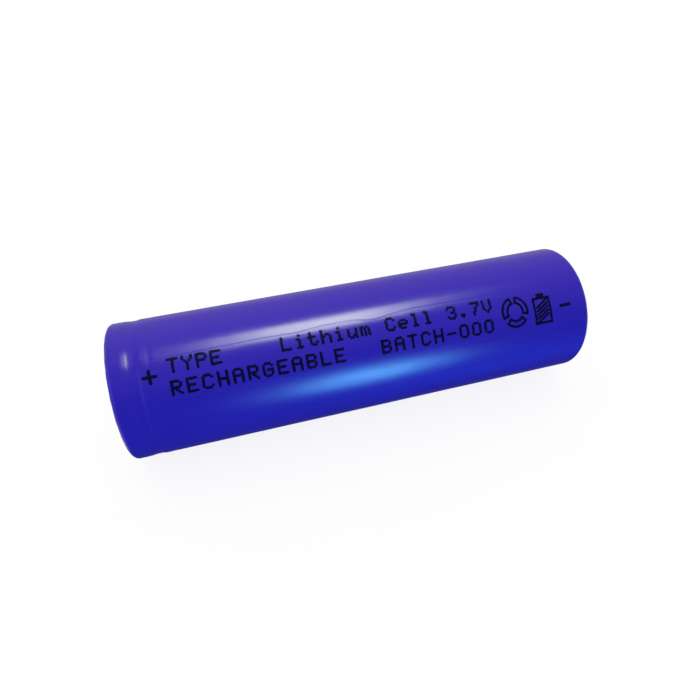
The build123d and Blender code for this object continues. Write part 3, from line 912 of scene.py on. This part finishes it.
def ink_print(name, drops, seed, heavy):
    """All drops of one print as one mesh. heavy makes every drop larger, as a second pass does."""
    chance = random.Random(seed)
    points, faces = [], []
    for x, around in drops:
        x += chance.gauss(0, SCATTER)
        around += chance.gauss(0, SCATTER) + LEAN * (x - LEAN_FROM)
        size = DOT_RADIUS * heavy * chance.uniform(*SIZE_RANGE)
        faces += dome_faces(len(points))
        points += dome_points(x, around, size)
    piece = mesh_piece(name, points, faces, INK)
    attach(piece, "root")
    return piece


PRINTS = [
    ink_print("printed_words", words, 4, 1.0),
    ink_print("printed_pictures", pictures, 9, 1.0),
    ink_print("polarity_signs", signs, 2, 1.12),
]
print("prints:", [(piece.name, len(piece.data.polygons)) for piece in PRINTS])

# %% [markdown]
# ## The table
# A wide, pale table. Most of its brightness is its own, so that only a faint contact shadow is left under
# the cell. Mirror rays pass it by, because the studio wall behind the low front is dark. It lies a hair
# under the sleeve, so that the two surfaces never share a place.

# %% Floor
TABLE_HALF, TABLE_CELLS, TABLE_GAP = 3.0, 12, 0.00002
TABLE_GREY = (0.15, 0.15, 0.15)
TABLE_OTHER = (0.14, 0.14, 0.142)


def pale_table():
    material, tree, sockets = finish(
        "pale table", TABLE_GREY, 0.9,
        Specular_IOR_Level=0.0, Emission_Color=(1, 1, 1, 1), Emission_Strength=0.86)
    join(tree, cloud_in(tree, TABLE_GREY, TABLE_OTHER, 30.0, 0.5), sockets["Base Color"])
    return material


def table():
    """A flat square in even cells, just under the sleeve."""
    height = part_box("shrink_sleeve")[0].z - TABLE_GAP
    steps = np.linspace(-TABLE_HALF, TABLE_HALF, TABLE_CELLS + 1)
    points = [(x, y, height) for y in steps for x in steps]
    row = TABLE_CELLS + 1
    corners = [r * row + c for r in range(TABLE_CELLS) for c in range(TABLE_CELLS)]
    faces = [(first, first + 1, first + row + 1, first + row) for first in corners]
    piece = mesh_piece("table_top", points, faces, pale_table(), smooth=False)
    piece.visible_glossy = False
    return piece


floor = table()
print("table at", round(floor.data.vertices[0].co.z / MM, 2), "mm")

# %% [markdown]
# ## Studio light
# The room is a light tent: even light from all sides for the matt part of every finish. What the glossy
# film mirrors is drawn separately: bright above and behind, dark low in front, and bright to the far left
# and right so that the two metal ends have something to show. A Light Path node tells the two apart.

# %% A ramp of brightness
TENT_STOPS = (
    (-1.0, 0.035, 0.04), (-0.7, 0.04, 0.04), (-0.26, 0.11, 0.1), (0.0, 0.2, 0.18), (0.3, 0.44, 0.38),
    (0.5, 0.53, 0.42), (0.71, 0.62, 0.42), (0.88, 0.82, 0.6), (1.0, 1.1, 0.92))
WALL_STOPS = (
    (-1.0, 0.8, 0.8), (-0.3, 0.75, 0.75), (-0.05, 0.42, 0.42), (0.1, 0.5, 0.5), (0.32, 1.0, 1.0),
    (1.0, 1.1, 1.1))


def colour_ramp(tree, along, stops):
    """A ramp from -1 to 1. Each stop is a place, a brightness for red and blue, and one for green."""
    ramp = put(tree, "ValToRGB", Fac=spread_of(tree, along, -1.0, 1.0, 0.0, 1.0))
    for stop in stops[1:-1]:
        ramp.color_ramp.elements.new((stop[0] + 1) / 2)
    for element, (place, light, green) in zip(ramp.color_ramp.elements, stops):
        element.position = (place + 1) / 2
        element.color = (light, green, light, 1)
    return ramp.outputs["Color"]


print("stops:", len(TENT_STOPS), "for the tent,", len(WALL_STOPS), "for the side walls")

# %% The room
BRIGHTEST_WAY = (0.0, 0.574, 0.819)
RIGHT_WALL, LEFT_WALL = (0.66, 0.88), (-0.42, -0.66)
EVEN_LIGHT = (1.0, 1.0, 1.0, 1)
BACKDROP = (0.985, 0.985, 0.99, 1)


def room():
    """The world: what mirror rays meet, the even light for the rest, and the plain backdrop."""
    world = bpy.data.worlds.new("light tent")
    bpy.context.scene.world = world
    world.use_nodes = True
    world.cycles.sampling_method = "NONE"
    tree = world.node_tree
    way = put(tree, "TexCoord").outputs["Generated"]
    parts = put(tree, "SeparateXYZ", Vector=way).outputs
    over = put(tree, "VectorMath", {"operation": "DOT_PRODUCT"})
    join(tree, way, over.inputs[0])
    join(tree, BRIGHTEST_WAY, over.inputs[1])
    tent = colour_ramp(tree, over.outputs["Value"], TENT_STOPS)
    walls = colour_ramp(tree, parts["Z"], WALL_STOPS)
    right = spread_of(tree, parts["X"], *RIGHT_WALL, 0.0, 1.0)
    left = spread_of(tree, parts["X"], *LEFT_WALL, 0.0, 1.0)
    mirrored = mix_of(tree, sum_of(tree, "ADD", right, left), tent, walls)
    path = put(tree, "LightPath").outputs
    lit = mix_of(tree, path["Is Glossy Ray"], EVEN_LIGHT, mirrored)
    seen = mix_of(tree, path["Is Camera Ray"], lit, BACKDROP)
    join(tree, seen, tree.nodes["Background"].inputs["Color"])
    return world


print("room:", room().name)

# %% [markdown]
# The soft boxes are area lights that fade towards their ends, as a diffuser does that is lit from its
# middle. They light by mirror rays only, since the tent already gives the matt part its light. Light
# linking keeps them apart: one set reaches the film and its print, the other the metal parts.

# %% Which pieces a light reaches
def linked_to(name, pieces):
    """A collection for light linking. The pieces stay where they are and only join it."""
    group = bpy.data.collections.new(name)
    for piece in pieces:
        group.objects.link(piece)
    return group


FILM_ONLY = linked_to("lit by the film lights", [film, *PRINTS])
METAL_ONLY = linked_to("lit by the metal lights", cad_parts.values())


# %% A soft box
def aimed(toward):
    """Turns for a lamp whose long side stays along the cell."""
    return (math.atan2(toward.y, -toward.z), 0.0, 0.0)


def faded(tree, fade, edge):
    """Brightness over a lamp's face: a bell along each side that has a width, steeper for a larger edge."""
    spot = put(tree, "SeparateXYZ", Vector=put(tree, "NewGeometry").outputs["Parametric"]).outputs
    strength = 1.0
    for axis, width in zip(("X", "Y"), fade):
        if width:
            away = sum_of(tree, "DIVIDE", sum_of(tree, "SUBTRACT", spot[axis], 0.5), width)
            steep = sum_of(tree, "POWER", sum_of(tree, "ABSOLUTE", away), edge)
            bell = sum_of(tree, "EXPONENT", sum_of(tree, "MULTIPLY", steep, -0.5))
            strength = sum_of(tree, "MULTIPLY", bell, strength)
    return strength


def soft_box(name, colour, brightness, size, middle, fade, lit, edge=2.0, turn=None):
    """An area light of this size in metres, aimed at the cell, with a bright middle that fades outwards."""
    lamp = bpy.data.lights.new(name, "AREA")
    lamp.shape = "RECTANGLE"
    lamp.size, lamp.size_y = size
    lamp.color = colour
    lamp.energy = brightness * size[0] * size[1] * math.pi
    lamp.use_nodes = True
    tree = lamp.node_tree
    join(tree, faded(tree, fade, edge), tree.nodes["Emission"].inputs["Strength"])
    light = bpy.data.objects.new(name, lamp)
    bpy.context.scene.collection.objects.link(light)
    light.location = middle
    light.rotation_euler = turn or aimed(-light.location.normalized())
    light.visible_camera = False
    light.visible_diffuse = False
    light.light_linking.receiver_collection = lit
    light.light_linking.blocker_collection = lit
    return light


print("helper:", soft_box.__name__)

# %% [markdown]
# Two boxes make the streaks on the barrel: a wide one overhead and a smaller one low in front. The film's
# violet sheen colours what it mirrors, so the first is greenish yellow, to come off it almost white, and
# the second comes off it sky blue. A third, faint and deep blue, carries the low streak to the right.

# %% Lights for the film
soft_box(
    "overhead_box", (0.565, 1.0, 0.29), 26.6, size=(0.36, 0.133), middle=(0.05, 0.0185, 0.349),
    fade=(0.145, 0), lit=FILM_ONLY, edge=2.6)
soft_box(
    "low_front_box", (0.155, 1.0, 0.72), 15.6, size=(0.10, 0.08), middle=(0.0138, -0.0674, -0.0092),
    fade=(0.122, 0.145), lit=FILM_ONLY)
soft_box(
    "low_right_glow", (0.0, 0.14, 1.0), 1.3, size=(0.14, 0.09), middle=(0.04, -0.0485, -0.035),
    fade=(0.24, 0.22), lit=FILM_ONLY)

# %% [markdown]
# The metal ends get a nearly white box from above. At each side a large, weak panel fills them evenly, and
# a small, brighter window in front of it gives their edges a sheen.

# %% Lights for the metal
soft_box(
    "metal_box", (1.0, 0.98, 0.95), 3.0, size=(0.30, 0.15), middle=(0.0, 0.03, 0.35),
    fade=(0.2, 0), lit=METAL_ONLY)
for side, name in ((-1, "left"), (1, "right")):
    facing = (0.0, side * math.pi / 2, 0.0)
    soft_box(
        name + "_panel", (1.0, 0.99, 0.97), 0.34, size=(0.6, 0.9), middle=(side * 0.22, 0.0, -0.08),
        fade=(0, 0), lit=METAL_ONLY, turn=facing)
    soft_box(
        name + "_window", (1.0, 1.0, 1.0), 1.5, size=(0.12, 0.26), middle=(side * 0.12, -0.02, 0.036),
        fade=(0.15, 0.24), lit=METAL_ONLY, turn=facing)

# %% [markdown]
# ## Camera
# A short lens close to the cell, looking down at a little under 45 degrees and turned slightly to the
# right, so that the positive end comes nearer and looks larger.

# %% Camera
LOOKS_DOWN, TURNED_RIGHT = 43.531, 16.254
camera = bpy.data.objects.new("camera", bpy.data.cameras.new("camera"))
bpy.context.scene.collection.objects.link(camera)
camera.data.lens = 27.63
camera.data.sensor_width = 36
camera.data.clip_start = 0.001
camera.location = (-0.016825, -0.055193, 0.053946)
camera.rotation_euler = (math.radians(90 - LOOKS_DOWN), 0, math.radians(-TURNED_RIGHT))
bpy.context.scene.camera = camera
bpy.context.scene.view_settings.view_transform = "Standard"
print("camera at", [round(v / MM, 1) for v in camera.location])
